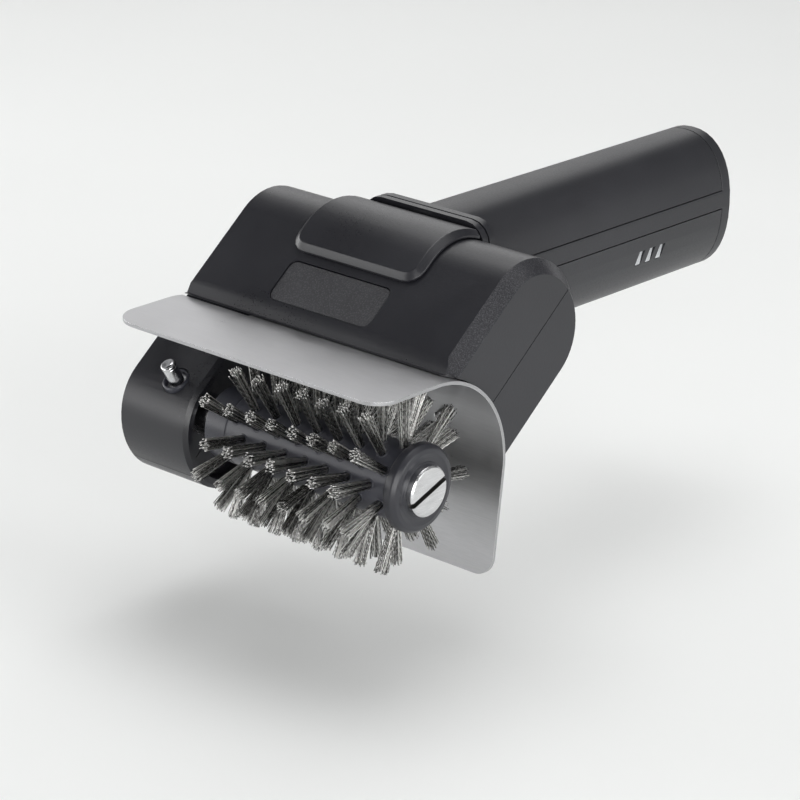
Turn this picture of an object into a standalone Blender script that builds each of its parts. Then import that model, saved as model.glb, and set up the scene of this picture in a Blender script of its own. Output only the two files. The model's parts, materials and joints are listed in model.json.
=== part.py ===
"""Cordless rotary grill-cleaning brush.

Frame: +Y runs along the handle from the head to the handle's end, +Z is up, +X points at the
free end of the wire roller.  Shapes are laid out in millimetres about the front edge of the
head's sloping top, then the whole assembly is scaled to metres and shifted so that the world
origin is the centre of its bounding box.
"""
import math

import bmesh
import bpy
from mathutils import Matrix, Vector

# ---------------------------------------------------------------- driving dimensions (mm)
SHIFT = (-2.95, -76.1098, 22.6962)       # layout origin in the world frame

SLOPE_DEG = 38.86                  # slope of the head's slab
SLAB_T = 49.5                      # slab thickness
SLAB_P = 33.8                      # where the slab's round end begins, along the slope
SLAB_A = 22.0                      # round end's reach along the slope
SLAB_LOW = 23.5                    # depth of the half below the parting plane
HEAD_XL, HEAD_XR = -57.0, 56.2
HEAD_CH = 4.3                      # chamfer along the right side
HEAD_CHL = 0.8                     # edge break along the left side
WALL = 2.4
SEAM_Q = -24.75                    # parting plane of the head, halfway down the slab
GAP = 0.15                         # half of the gap at a seam

ARM_XL, ARM_XR = -57.0, -27.2
NOSE_P, NOSE_A, NOSE_TOP, NOSE_B = -31.2, 20.2, 2.0, 22.75
NOSE_LOW = 20.0                    # depth of the arm below the parting plane

GUARD_Y, GUARD_Z = -9.0, -35.0     # axis of the guard's curl
GUARD_R = 32.6                     # inside radius of the curl
GUARD_T = 1.1
GUARD_XL, GUARD_XR = -56.0, 58.5
CURL_XL = -26.7
LIP_Y = -35.6
FLANGE_Z = -74.0
FLANGE_DEG = -6.0
HEAD_ARC = GUARD_R + GUARD_T + 0.35

BRUSH_Y, BRUSH_Z = -16.4, -32.6    # roller axis
TUFT_R = 29.0
CORE_R = 12.0
CORE_XL, CORE_XR = -21.0, 55.5
TUFT_ROWS = 14
TUFT_X0, TUFT_PITCH, TUFTS = -8.2, 8.75, 8
TUFT_PHASE = 145.5                 # first row's angle about the axis

MODULE = 0.8
Z_BRUSH, Z_IDLER, Z_SMALL, Z_BIG, Z_MOTOR = 20, 18, 14, 36, 12
TRAIN = (0.8335, 0.5525)           # direction of the line of gear centres in Y, Z

HANDLE_A, HANDLE_B, HANDLE_N = 18.0, 25.0, 2.25
HANDLE_Z = 2.4
HANDLE_W = 2.2
HANDLE_Y0, HANDLE_Y1, HANDLE_END = 50.8, 191.3, 197.6
SEAM_LO, SEAM_HI = -0.4, 5.9       # handle seams, from the handle's centre

PIN_DEG = 31.0                     # lock pin's lean from upright; it points at the roller's axis
PIN_DIR = Vector((0.0, -math.sin(math.radians(PIN_DEG)), math.cos(math.radians(PIN_DEG))))
PIN_X, PIN_REACH = -38.1, 13.0
PIN_Y, PIN_Z = BRUSH_Y + PIN_DIR.y * PIN_REACH, BRUSH_Z + PIN_DIR.z * PIN_REACH

CA, SA = math.cos(math.radians(SLOPE_DEG)), math.sin(math.radians(SLOPE_DEG))

# ---------------------------------------------------------------- clear the scene
for old in list(bpy.data.objects):
    bpy.data.objects.remove(old, do_unlink=True)

# ---------------------------------------------------------------- materials
PALETTE = {
    "housing_plastic": ((0.032, 0.033, 0.038), 0.55, 0.0),
    "label_plastic": ((0.045, 0.046, 0.052), 0.75, 0.0),
    "core_plastic": ((0.030, 0.032, 0.044), 0.45, 0.0),
    "stainless": ((0.62, 0.62, 0.63), 0.30, 1.0),
    "wire_steel": ((0.30, 0.29, 0.27), 0.35, 1.0),
    "bright_steel": ((0.70, 0.70, 0.71), 0.18, 1.0),
    "gauge_lens": ((0.42, 0.43, 0.45), 0.25, 0.0),
    "board_green": ((0.02, 0.12, 0.06), 0.5, 0.0),
    "cell_wrap": ((0.05, 0.16, 0.36), 0.35, 0.0),
    "brass_gear": ((0.55, 0.42, 0.18), 0.35, 1.0),
    "nylon_gear": ((0.72, 0.70, 0.64), 0.5, 0.0),
    "copper_rotor": ((0.60, 0.30, 0.16), 0.4, 1.0),
}
MATS = {}
for key, (rgb, rough, metal) in PALETTE.items():
    mat = bpy.data.materials.new(key)
    mat.use_nodes = True
    shader = mat.node_tree.nodes["Principled BSDF"]
    shader.inputs["Base Color"].default_value = (*rgb, 1.0)
    shader.inputs["Roughness"].default_value = rough
    shader.inputs["Metallic"].default_value = metal
    MATS[key] = mat


# ---------------------------------------------------------------- small geometry helpers
def yz(p, q):
    """Slope coordinates (along, square to the slope) to Y, Z."""
    return p * CA - q * SA, p * SA + q * CA


def q_of(y, z):
    return -y * SA + z * CA


def raw(name, verts, faces):
    bm = bmesh.new()
    vs = [bm.verts.new(v) for v in verts]
    for f in faces:
        bm.faces.new([vs[i] for i in f])
    bmesh.ops.recalc_face_normals(bm, faces=bm.faces)
    me = bpy.data.meshes.new(name)
    bm.to_mesh(me)
    bm.free()
    ob = bpy.data.objects.new(name, me)
    bpy.context.collection.objects.link(ob)
    return ob


def loft(name, rings, closed=False):
    """Join rings of equal length; the ends are capped, or joined to each other when closed."""
    n = len(rings[0])
    verts = [v for r in rings for v in r]
    faces = []
    last = len(rings) if closed else len(rings) - 1
    for k in range(last):
        a, b = k * n, ((k + 1) % len(rings)) * n
        for i in range(n):
            j = (i + 1) % n
            faces.append((a + i, a + j, b + j, b + i))
    if not closed:
        faces.append(tuple(range(n)))
        faces.append(tuple((len(rings) - 1) * n + i for i in range(n)))
    return raw(name, verts, faces)


def prism_x(name, pts, x0, x1):
    return loft(name, [[(x, y, z) for y, z in pts] for x in (x0, x1)])


def prism_y(name, pts, y0, y1):
    return loft(name, [[(x, y, z) for x, z in pts] for y in (y0, y1)])


def prism_z(name, pts, z0, z1):
    return loft(name, [[(x, y, z) for x, y in pts] for z in (z0, z1)])


def box(name, lo, hi):
    return prism_z(name, [(lo[0], lo[1]), (hi[0], lo[1]), (hi[0], hi[1]), (lo[0], hi[1])], lo[2], hi[2])


def frame_of(axis):
    w = Vector(axis).normalized()
    side = Vector((0, 0, 1)) if abs(w.z) < 0.9 else Vector((1, 0, 0))
    u = side.cross(w).normalized()
    return u, w.cross(u), w


def lathe(name, origin, axis, prof, seg=24, closed=False):
    """Turn a profile of (station, radius) about an axis through origin."""
    u, v, w = frame_of(axis)
    o = Vector(origin)
    rings = []
    for t, r in prof:
        rings.append([o + w * t + (u * math.cos(a) + v * math.sin(a)) * r
                      for a in (2 * math.pi * k / seg for k in range(seg))])
    return loft(name, rings, closed)


def tube(name, origin, axis, t0, t1, r0, r1, seg=24):
    return lathe(name, origin, axis, [(t0, r0), (t0, r1), (t1, r1), (t1, r0)], seg, closed=True)


def boolean(ob, other, op="DIFFERENCE"):
    m = ob.modifiers.new("cut", "BOOLEAN")
    m.operation = op
    m.solver = "EXACT"
    m.object = other
    dg = bpy.context.evaluated_depsgraph_get()
    dg.update()
    me = bpy.data.meshes.new_from_object(ob.evaluated_get(dg))
    ob.modifiers.clear()
    old = ob.data
    ob.data = me
    bpy.data.meshes.remove(old)
    bpy.data.objects.remove(other, do_unlink=True)
    return ob


def cut(ob, *others):
    for o in others:
        boolean(ob, o)
    return ob


def join(ob, *others):
    for o in others:
        boolean(ob, o, "UNION")
    return ob


def rounded(x0, y0, x1, y1, r, n=4):
    pts = []
    for cx, cy, a0 in ((x1 - r, y1 - r, 0), (x0 + r, y1 - r, 90), (x0 + r, y0 + r, 180), (x1 - r, y0 + r, 270)):
        for k in range(n + 1):
            a = math.radians(a0 + 90 * k / n)
            pts.append((cx + r * math.cos(a), cy + r * math.sin(a)))
    return pts


ROOT = bpy.data.objects.new("frame", None)
ROOT.location = Vector(SHIFT) * 0.001
bpy.context.collection.objects.link(ROOT)
AXES = {}


def axis_empty(name, at):
    e = bpy.data.objects.new(name, None)
    e.location = Vector(at) * 0.001
    e.parent = ROOT
    bpy.context.collection.objects.link(e)
    AXES[name] = Vector(at)


def place(ob, mat, axis=None, sharp=30):
    """Scale to metres and hang the piece on the frame, or on the empty of its joint's axis."""
    at = AXES[axis] if axis else Vector((0, 0, 0))
    ob.data.transform(Matrix.Scale(0.001, 4) @ Matrix.Translation(-at))
    ob.parent = bpy.data.objects[axis] if axis else ROOT
    ob.data.materials.clear()
    ob.data.materials.append(MATS[mat])
    ob.data.shade_smooth()
    ob.data.set_sharp_from_angle(angle=math.radians(sharp))
    return ob


# ---------------------------------------------------------------- head outlines
def arc_pt(r, deg):
    a = math.radians(deg)
    return GUARD_Y + r * math.cos(a), GUARD_Z + r * math.sin(a)


def arc_at_q(r, q):
    """Angle on a circle about the curl's axis where the slope coordinate is q."""
    lo, hi = -60.0, 100.0
    for _ in range(60):
        mid = (lo + hi) / 2
        if q_of(*arc_pt(r, mid)) < q:
            lo = mid
        else:
            hi = mid
    return lo


def upper_outline(d, r=HEAD_ARC, qs=SEAM_Q + GAP):
    b = SLAB_T / 2
    if d == 0:
        f, end = (0.0, 0.0), 78.5
    else:
        end = arc_at_q(r, -d)
        f = arc_pt(r, end)
        end -= 1.5
    start = arc_at_q(r, qs)
    pts = [arc_pt(r, start + (end - start) * k / 8) for k in range(9)]
    pts.append(f)
    t_s = math.degrees(math.asin((qs - SEAM_Q) / (b - d)))
    for k in range(13):
        t = math.radians(90 + (t_s - 90) * k / 12)
        pts.append(yz(SLAB_P + (SLAB_A - d) * math.cos(t), -b + (b - d) * math.sin(t)))
    return pts


def lower_outline(d, r=HEAD_ARC, qs=SEAM_Q - GAP):
    b = SLAB_LOW
    qb = SEAM_Q - SLAB_LOW + d
    fy, fz = arc_pt(r, FLANGE_DEG)
    if q_of(fy, fz) > qb:
        end = FLANGE_DEG
        dy, dz = math.sin(math.radians(FLANGE_DEG)), -math.cos(math.radians(FLANGE_DEG))
        t = (qb - q_of(fy, fz)) / (-dy * SA + dz * CA)
        corner = (fy + dy * t, fz + dz * t)
    else:
        end = arc_at_q(r, qb)
        corner = arc_pt(r, end)
        end += 0.8
    start = arc_at_q(r, qs)
    pts = [arc_pt(r, start + (end - start) * k / 5) for k in range(6)]
    pts.append(corner)
    t_s = math.degrees(math.asin((SEAM_Q - qs) / (b - d)))
    for k in range(13):
        t = math.radians(-90 + (90 - t_s) * k / 12)
        pts.append(yz(SLAB_P + (SLAB_A - d) * math.cos(t), SEAM_Q + (b - d) * math.sin(t)))
    return pts


def arm_outline(d, upper, rear=None, over=0.0):
    """Half of the arm's section: flat top or bottom, full round nose, rear on the curl's circle.

    over carries the section past the parting plane, for a cutter.
    """
    r = GUARD_R + GUARD_T + 0.05 if rear is None else rear
    top = -NOSE_TOP - d
    bottom = SEAM_Q - NOSE_LOW + d
    half = NOSE_B if upper else NOSE_LOW
    if upper:
        qs = SEAM_Q + GAP - over
        a0, a1 = arc_at_q(r, top), arc_at_q(r, qs)
        t0, t1 = 90.0, 180 - math.degrees(math.asin((qs - SEAM_Q) / (half - d)))
    else:
        qs = SEAM_Q - GAP + over
        a0, a1 = arc_at_q(r, bottom), arc_at_q(r, qs)
        t0, t1 = -90.0, -180 + math.degrees(math.asin((SEAM_Q - qs) / (half - d)))
    pts = [arc_pt(r, a1 + (a0 - a1) * k / 6) for k in range(7)]
    for k in range(13):
        t = math.radians(t0 + (t1 - t0) * k / 12)
        pts.append(yz(NOSE_P + (NOSE_A - d) * math.cos(t), SEAM_Q + (half - d) * math.sin(t)))
    return pts


def shell(name, outline, xs):
    """Loft an outline function over (x, inset) stations."""
    return loft(name, [[(x, y, z) for y, z in outline(d)] for x, d in xs])


HEAD_OUT = [(HEAD_XL, HEAD_CHL), (HEAD_XL + HEAD_CHL, 0), (HEAD_XR - HEAD_CH, 0), (HEAD_XR, HEAD_CH)]
INNER_ARC = HEAD_ARC + WALL
HEAD_IN = [(HEAD_XL + WALL, WALL), (HEAD_XR - HEAD_CH - 1.6, WALL), (HEAD_XR - WALL, WALL + HEAD_CH - 0.4)]

# gear train centres, from the roller up to the motor
def along(dist):
    return BRUSH_Y + TRAIN[0] * dist, BRUSH_Z + TRAIN[1] * dist


D1 = MODULE * (Z_BRUSH + Z_IDLER) / 2
D2 = D1 + MODULE * Z_IDLER
D3 = D2 + MODULE * (Z_IDLER + Z_SMALL) / 2
D4 = D3 + MODULE * (Z_BIG + Z_MOTOR) / 2
IDLER2, IDLER1, COMPOUND, MOTOR = along(D1), along(D2), along(D3), along(D4)
PSI = math.degrees(math.atan2(TRAIN[1], TRAIN[0]))

axis_empty("axis_roller", (0, BRUSH_Y, BRUSH_Z))
axis_empty("axis_idler_2", (0, *IDLER2))
axis_empty("axis_idler_1", (0, *IDLER1))
axis_empty("axis_compound", (0, *COMPOUND))
axis_empty("axis_motor", (0, *MOTOR))
axis_empty("axis_lock_pin", (PIN_X, PIN_Y, PIN_Z))
axis_empty("axis_trigger", (0, 90, -22))
X_AXIS = (1, 0, 0)
PIN_O = Vector((PIN_X, PIN_Y, PIN_Z))

# ---------------------------------------------------------------- head shells
LABEL = (-25.0, 5.0, 18.0, 21.0)     # x0, p0, x1, p1 of the label recess


def on_slope(name, pts, q0, q1):
    return loft(name, [[(x, *yz(p, q)) for x, p in pts] for q in (q0, q1)])


def guard_screw_hole(name, x, r):
    a = math.radians(15)
    return lathe(name, (x, GUARD_Y, GUARD_Z), (0, math.cos(a), math.sin(a)), [(28, r), (42, r)], 12)


def gear_window(name):
    return loft(name, [[(x, *yz(p, q)) for p, q in ((-16, -5.2), (13, -5.2), (13, -44), (-16, -44))]
                       for x in (HEAD_XL + WALL, -36.5)])


GUARD_SCREWS = (-10.0, 35.0)

upper = shell("upper_cover", upper_outline, HEAD_OUT)
cut(upper,
    shell("c1", lambda d: upper_outline(d, INNER_ARC, SEAM_Q - 3), HEAD_IN),
    box("c2", (-25.9, 50.2, -40), (25.9, 90, 40)),
    gear_window("c3"),
    on_slope("c4", rounded(*LABEL, 3.0), -1.2, 2.0),
    prism_x("c5", [(0.63, -2.0), (4.72, 5.0), (-3.0, 5.0), (-3.0, -2.0)], HEAD_XL - 2, HEAD_XR + 2))
place(upper, "housing_plastic")

HEAD_SCREWS = ((-44.0, 20.0), (40.0, 20.0))       # x, p on the underside


def under_screw(name, x, p, q, prof, seg=12):
    y, z = yz(p, q)
    return lathe(name, (x, y, z), (0, -SA, CA), prof, seg)


lower = shell("lower_housing", lower_outline, HEAD_OUT)
cut(lower,
    shell("c1", lambda d: lower_outline(d, INNER_ARC, SEAM_Q + 3), HEAD_IN),
    box("c2", (-25.9, 50.2, -40), (25.9, 90, 40)),
    gear_window("c3"))
for x, p in HEAD_SCREWS:
    cut(lower, under_screw("c", x, p, SEAM_Q - SLAB_LOW, [(-2, 1.8), (4, 1.8)]))
for x in GUARD_SCREWS:
    cut(lower, guard_screw_hole("c", x, 1.8))
place(lower, "housing_plastic")
for k, (x, p) in enumerate(HEAD_SCREWS):
    s = under_screw("head_screw_%d" % (k + 1), x, p, SEAM_Q - SLAB_LOW,
                    [(-2.0, 2.4), (-1.4, 3.0), (-0.3, 3.0), (-0.3, 1.5), (9, 1.5)], 16)
    place(s, "bright_steel")


# ---------------------------------------------------------------- raised saddle over the top
def saddle_station(s):
    """Point and normal in slope coordinates, s millimetres back from the saddle's front edge."""
    p0 = 24.0
    flat = SLAB_P - p0
    if s <= flat:
        return p0 + s, 0.0, 0.0, 1.0
    b = SLAB_T / 2
    t = math.radians(90 - (s - flat) / 23.0 * 57.3)
    n = Vector((math.cos(t) / SLAB_A, math.sin(t) / b)).normalized()
    return SLAB_P + SLAB_A * math.cos(t), -b + b * math.sin(t), n.x, n.y


def saddle_pt(x, s, h):
    p, q, a, b = saddle_station(s)
    return (x + SADDLE_MID, *yz(p + a * h, q + b * h))


SADDLE_X, SADDLE_MID, SADDLE_R, SADDLE_CH, SADDLE_H = 27.0, -1.6, 6.0, 2.2, 3.0
s_end = 10.0
while saddle_pt(0, s_end + 0.5, SADDLE_H)[1] < 50.1:
    s_end += 0.5
right = []
for k in range(5):
    f = math.radians(90 * k / 4)
    right.append((SADDLE_X - SADDLE_R + SADDLE_R * math.sin(f), SADDLE_R - SADDLE_R * math.cos(f),
                  SADDLE_X - SADDLE_R + (SADDLE_R - SADDLE_CH) * math.sin(f),
                  SADDLE_R - (SADDLE_R - SADDLE_CH) * math.cos(f)))
stations = [9.8] + [9.8 + (s_end - 9.8) * k / 9 for k in range(1, 10)]
right += [(SADDLE_X, s, SADDLE_X - SADDLE_CH, s) for s in stations]
verts, faces = [], []
for xo, so, xi, si in right:
    for sign in (1, -1):
        verts += [saddle_pt(sign * xo, so, 0.3), saddle_pt(sign * xo, so, 1.2), saddle_pt(sign * xi, si, SADDLE_H)]
for k in range(len(right) - 1):
    a, b = 6 * k, 6 * (k + 1)
    faces += [(a, a + 3, b + 3, b), (a + 2, a + 5, b + 5, b + 2),
              (a, a + 1, b + 1, b), (a + 1, a + 2, b + 2, b + 1),
              (a + 3, a + 4, b + 4, b + 3), (a + 4, a + 5, b + 5, b + 4)]
e = 6 * (len(right) - 1)
faces += [(0, 1, 4, 3), (1, 2, 5, 4), (e, e + 1, e + 2, e + 5, e + 4, e + 3)]
place(raw("saddle_cover", verts, faces), "housing_plastic")

x0, p0, x1, p1 = LABEL
place(on_slope("label_plate", rounded(x0 + 0.3, p0 + 0.3, x1 - 0.3, p1 - 0.3, 2.7), -0.9, -0.3), "label_plastic")


# ---------------------------------------------------------------- handle
def oval(inset, n=40, y=None):
    a, b, e = HANDLE_A - inset, HANDLE_B - inset, 2 / HANDLE_N
    pts = []
    for k in range(n):
        t = 2 * math.pi * k / n
        c, s = math.cos(t), math.sin(t)
        pts.append((math.copysign(abs(c) ** e, c) * a, HANDLE_Z + math.copysign(abs(s) ** e, s) * b))
    return pts if y is None else [(x, y, z) for x, z in pts]


def oval_half(inset, z0, upper_half, n=18):
    """Points of the oval above (or below) the height z0, from its right end to its left end."""
    a, b = HANDLE_A - inset, HANDLE_B - inset
    t0 = math.asin((abs(z0) / b) ** (HANDLE_N / 2))
    sign = 1 if upper_half else -1
    pts = []
    for k in range(n + 1):
        t = t0 + (math.pi - 2 * t0) * k / n
        c, s = math.cos(t), math.sin(t)
        e = 2 / HANDLE_N
        pts.append((math.copysign(abs(c) ** e, c) * a, HANDLE_Z + sign * s ** e * b))
    return pts


collar = prism_y("collar", rounded(-25.6, -25.4, 25.6, 28.1, 7.5), 50.5, 56.6)
groove = prism_y("c", rounded(-32, -32, 32, 34, 7.5), 53.0, 53.8)
cut(groove, prism_y("c2", rounded(-25.15, -24.95, 25.15, 27.7, 7.1), 52.0, 55.0))
cut(collar, groove)
b2 = SLAB_T / 2
boot = []
for k in range(41):
    t = math.radians(90 - 180 * k / 40)
    y, z = yz(SLAB_P + SLAB_A * math.cos(t), SEAM_Q + (b2 if k <= 20 else SLAB_LOW) * math.sin(t))
    if y > 54.2:
        boot.append((y, z))
boot = [(54.2, boot[0][1] + 0.4)] + boot + [(54.2, boot[-1][1] - 0.4)]
join(collar, prism_x("j", boot, -25.6, 25.6))
cut(collar, loft("c", [oval(-0.1, 40, 40.0), oval(-0.1, 40, 80.0)]))
place(collar, "housing_plastic")

hframe = loft("handle_frame", [oval(0, 40, HANDLE_Y0), oval(0, 40, HANDLE_END - 2.0), oval(1.4, 40, HANDLE_END),
                               oval(HANDLE_W, 40, HANDLE_END), oval(HANDLE_W, 40, HANDLE_Y0)], closed=True)
cut(hframe, box("c1", (-30, 54, HANDLE_Z + SEAM_HI), (30, HANDLE_Y1, 60)),
    box("c2", (-30, 54, -60), (30, HANDLE_Y1, HANDLE_Z + SEAM_LO)))
place(hframe, "housing_plastic")

g = 2 * GAP
grip = oval_half(0, SEAM_HI + g, True) + list(reversed(oval_half(HANDLE_W, SEAM_HI + g, True)))
place(prism_y("handle_upper_shell", grip, 54.0 + g, HANDLE_Y1 - g), "housing_plastic")

SLANT = 1.6
WINDOWS = (145.0, 150.7, 156.4)


def window_pts(y, grow):
    zt, zb = -3.9 + grow, -8.5 - grow
    return [(y - grow, zt), (y + 2.4 + grow, zt), (y + 2.4 - SLANT + grow, zb), (y - SLANT - grow, zb)]


grip = oval_half(0, SEAM_LO - g, False) + list(reversed(oval_half(HANDLE_W, SEAM_LO - g, False)))
low = prism_y("handle_lower_shell", grip, 54.0 + g, HANDLE_Y1 - g)
for y in WINDOWS:
    cut(low, prism_x("c", window_pts(y, 0.3), 12, 22))
cut(low, box("c", (-6.3, 75.7, -40), (6.3, 104.3, -14)))
place(low, "housing_plastic")
for k, y in enumerate(WINDOWS):
    place(prism_x("gauge_window_%d" % (k + 1), window_pts(y, 0), 13.2, 16.7), "gauge_lens")
place(box("gauge_board", (10.7, 138, -11.6), (12.1, 164, -0.5)), "board_green")

cap = loft("end_cap", [oval(HANDLE_W + 0.3, 40, 194.6), oval(HANDLE_W + 0.3, 40, 196.8), oval(HANDLE_W + 0.9, 40, 197.3)])
cut(cap, lathe("c", (0, 0, HANDLE_Z), (0, 1, 0), [(180, 4.8), (205, 4.8)], 24))
place(cap, "housing_plastic")
place(lathe("charging_socket", (0, 0, HANDLE_Z), (0, 1, 0),
            [(185, 4.5), (197.3, 4.5), (197.3, 2.75), (187, 2.75)], 24), "core_plastic")

for k, zc in enumerate((HANDLE_Z + 10.8, HANDLE_Z - 10.8)):
    place(lathe("battery_cell_%d" % (k + 1), (0, 0, zc), (0, 1, 0),
                [(112, 8.6), (112.6, 9.1), (175.4, 9.1), (176, 8.6), (176, 3.2), (177, 3.2)], 24), "cell_wrap")
carrier = box("battery_carrier", (-10, 109, HANDLE_Z - 1.3), (10, 180, HANDLE_Z + 1.3))
join(carrier, box("j1", (-8.5, 109, HANDLE_Z - 17.5), (8.5, 111.6, HANDLE_Z + 17.5)),
     box("j2", (-8.5, 177.4, HANDLE_Z - 17.5), (8.5, 180, HANDLE_Z + 17.5)))
place(carrier, "core_plastic")
place(box("control_board", (-10.5, 70, HANDLE_Z + 8.0), (10.5, 105, HANDLE_Z + 9.6)), "board_green")

# ---------------------------------------------------------------- switch and trigger, under the neck
place(box("switch_body", (-3.2, 88, -11.6), (3.2, 101, -5.0)), "core_plastic")
profile = [(76.1, -16.5), (76.1, -24.5), (78.0, -26.2), (86.0, -26.9), (96.0, -27.6), (101.5, -27.2),
           (103.9, -25.4), (103.9, -16.5)]
trig = prism_x("trigger", profile, -5.9, 5.9)
join(trig, box("j", (-7.6, 74.5, -17.6), (7.6, 105.5, -15.6)))
place(trig, "core_plastic", "axis_trigger")


def coil(name, origin, axis, r, t0, t1, turns, wire, mat, axis_name):
    """A round-wire compression spring as one swept tube."""
    u, v, w = frame_of(axis)
    o = Vector(origin)
    n = int(turns * 12)
    curve = bpy.data.curves.new(name, "CURVE")
    curve.dimensions = "3D"
    curve.bevel_depth = wire
    curve.bevel_resolution = 0
    curve.use_fill_caps = True
    sp = curve.splines.new("POLY")
    sp.points.add(n)
    for k in range(n + 1):
        a = 2 * math.pi * turns * k / n
        pt = o + w * (t0 + (t1 - t0) * k / n) + (u * math.cos(a) + v * math.sin(a)) * r
        sp.points[k].co = (*pt, 1)
    tmp = bpy.data.objects.new(name + "_path", curve)
    bpy.context.collection.objects.link(tmp)
    dg = bpy.context.evaluated_depsgraph_get()
    dg.update()
    me = bpy.data.meshes.new_from_object(tmp.evaluated_get(dg))
    bpy.data.objects.remove(tmp, do_unlink=True)
    bm = bmesh.new()
    bm.from_mesh(me)
    bmesh.ops.remove_doubles(bm, verts=bm.verts, dist=0.001)
    bmesh.ops.recalc_face_normals(bm, faces=bm.faces)
    bm.to_mesh(me)
    bm.free()
    ob = bpy.data.objects.new(name, me)
    bpy.context.collection.objects.link(ob)
    return place(ob, mat, axis_name)


coil("trigger_spring", (0, 81, 0), (0, 0, 1), 2.6, -15.2, -6.2, 4, 0.35, "bright_steel", None)

# ---------------------------------------------------------------- gearbox arm
arm_stations = [(ARM_XL, HEAD_CHL), (ARM_XL + HEAD_CHL, 0), (ARM_XR - 1.3, 0), (ARM_XR, 1.3)]


def arm_cavity(upper_half):
    return [shell("c1", lambda d: arm_outline(d, upper_half, GUARD_R + 6, 2), [(ARM_XL + WALL, WALL), (-36.5, WALL)]),
            shell("c2", lambda d: arm_outline(d, upper_half, GUARD_R - 3, 2), [(-33.0, 3.2), (-27.0, 3.2)])]


arm = shell("gearbox_arm", lambda d: arm_outline(d, True), arm_stations)
for c in arm_cavity(True):
    cut(arm, c)
cut(arm, lathe("c3", (0, BRUSH_Y, BRUSH_Z), X_AXIS, [(-37, 5.7), (-32, 5.7)], 24),
    lathe("c4", PIN_O, PIN_DIR, [(-5.1, 4.75), (9, 4.75)], 28))
place(arm, "housing_plastic")

arm_low = shell("arm_cover", lambda d: arm_outline(d, False), arm_stations)
for c in arm_cavity(False):
    cut(arm_low, c)
ARM_SCREWS = ((-47.0, -28.0), (-47.0, -14.0))
for x, p in ARM_SCREWS:
    cut(arm_low, under_screw("c", x, p, SEAM_Q - NOSE_LOW, [(-2, 1.8), (4, 1.8)]))
place(arm_low, "housing_plastic")
for k, (x, p) in enumerate(ARM_SCREWS):
    place(under_screw("arm_screw_%d" % (k + 1), x, p, SEAM_Q - NOSE_LOW,
                      [(-2.0, 2.4), (-1.4, 3.0), (-0.3, 3.0), (-0.3, 1.5), (7, 1.5)], 16), "bright_steel")

# ---------------------------------------------------------------- lock pin
place(lathe("lock_pin_collar", PIN_O, PIN_DIR, [(-4.9, 1.75), (-4.9, 4.6), (0.3, 4.6), (0.7, 4.2), (0.7, 3.75), (-4.2, 3.75), (-4.2, 1.75)],
            28, closed=True), "core_plastic")
place(lathe("lock_pin", PIN_O, PIN_DIR,
            [(-5.3, 1.3), (-5.0, 1.6), (-0.9, 1.6), (-0.9, 3.4), (-0.4, 3.4), (-0.4, 2.5),
             (7.1, 2.5), (7.6, 2.0), (7.6, 1.3), (7.2, 0.6)], 24), "bright_steel", "axis_lock_pin")
coil("lock_pin_spring", PIN_O, PIN_DIR, 2.65, -3.75, -1.35, 3, 0.28, "bright_steel", "axis_lock_pin")

# ---------------------------------------------------------------- stainless guard
top = [(LIP_Y, GUARD_Z + GUARD_R + GUARD_T)]
bot = [(LIP_Y, GUARD_Z + GUARD_R)]
for k in range(17):
    deg = 90 + (FLANGE_DEG - 90) * k / 16
    top.append(arc_pt(GUARD_R + GUARD_T, deg))
    bot.append(arc_pt(GUARD_R, deg))
dy, dz = math.sin(math.radians(FLANGE_DEG)), -math.cos(math.radians(FLANGE_DEG))
for path in (top, bot):
    y, z = path[-1]
    t = (FLANGE_Z - z) / dz
    path.append((y + dy * t, FLANGE_Z))
guard = prism_x("guard", top + list(reversed(bot)), GUARD_XL, GUARD_XR)
cut(guard, box("c", (-70, -2.6, -90), (CURL_XL, 60, 10)))


def corner(cx, cy, sx, sy, r, n=7):
    """Outside of a rounded corner whose sharp point is (cx, cy); sx, sy point into the sheet."""
    ox, oy = cx + sx * r, cy + sy * r
    pts = [(cx - sx * 2, cy - sy * 2), (cx - sx * 2, oy)]
    for k in range(n + 1):
        a = math.radians(90 * k / n)
        pts.append((ox - sx * r * math.cos(a), oy - sy * r * math.sin(a)))
    pts.append((ox, cy - sy * 2))
    return pts


cut(guard, prism_z("c", corner(GUARD_XL, LIP_Y, 1, 1, 11), -8, 4),
    prism_z("c", corner(GUARD_XR, LIP_Y, -1, 1, 8), -8, 4),
    prism_y("c", corner(GUARD_XR, FLANGE_Z, -1, 1, 7), 10, 40),
    prism_y("c", corner(CURL_XL, FLANGE_Z, 1, 1, 7), 10, 40))
for x in GUARD_SCREWS:
    cut(guard, guard_screw_hole("c", x, 1.8))
place(guard, "stainless")
for k, x in enumerate(GUARD_SCREWS):
    a = math.radians(15)
    place(lathe("guard_screw_%d" % (k + 1), (x, GUARD_Y, GUARD_Z), (0, math.cos(a), math.sin(a)),
                [(30.4, 2.2), (30.9, 3.0), (32.2, 3.0), (32.2, 1.5), (40.5, 1.5)], 16), "bright_steel")

# ---------------------------------------------------------------- motor
my, mz = MOTOR
place(lathe("motor_can", (0, my, mz), X_AXIS,
            [(-30, 1.9), (-30, 13.8), (12, 13.8), (12, 1.9), (10.8, 1.9), (10.8, 12.4), (-28.6, 12.4), (-28.6, 1.9)],
            32, closed=True), "stainless")
place(lathe("motor_rotor", (0, my, mz), X_AXIS,
            [(-53.6, 1.5), (-26, 1.5), (-26, 10.2), (4, 10.2), (4, 5.5), (9.4, 5.5), (9.4, 1.5), (13.4, 1.5)], 24),
      "copper_rotor", "axis_motor")
plate = loft("gearbox_plate", [[(x, *yz(p, q)) for p, q in ((16.5, -4.5), (44.5, -8.5), (48.5, -18), (48.5, -33), (40, -41), (16.5, -42))]
                               for x in (-33.4, -31.6)])
cut(plate, lathe("c1", (0, my, mz), X_AXIS, [(-36, 4.0), (-28, 4.0)], 20))
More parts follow.
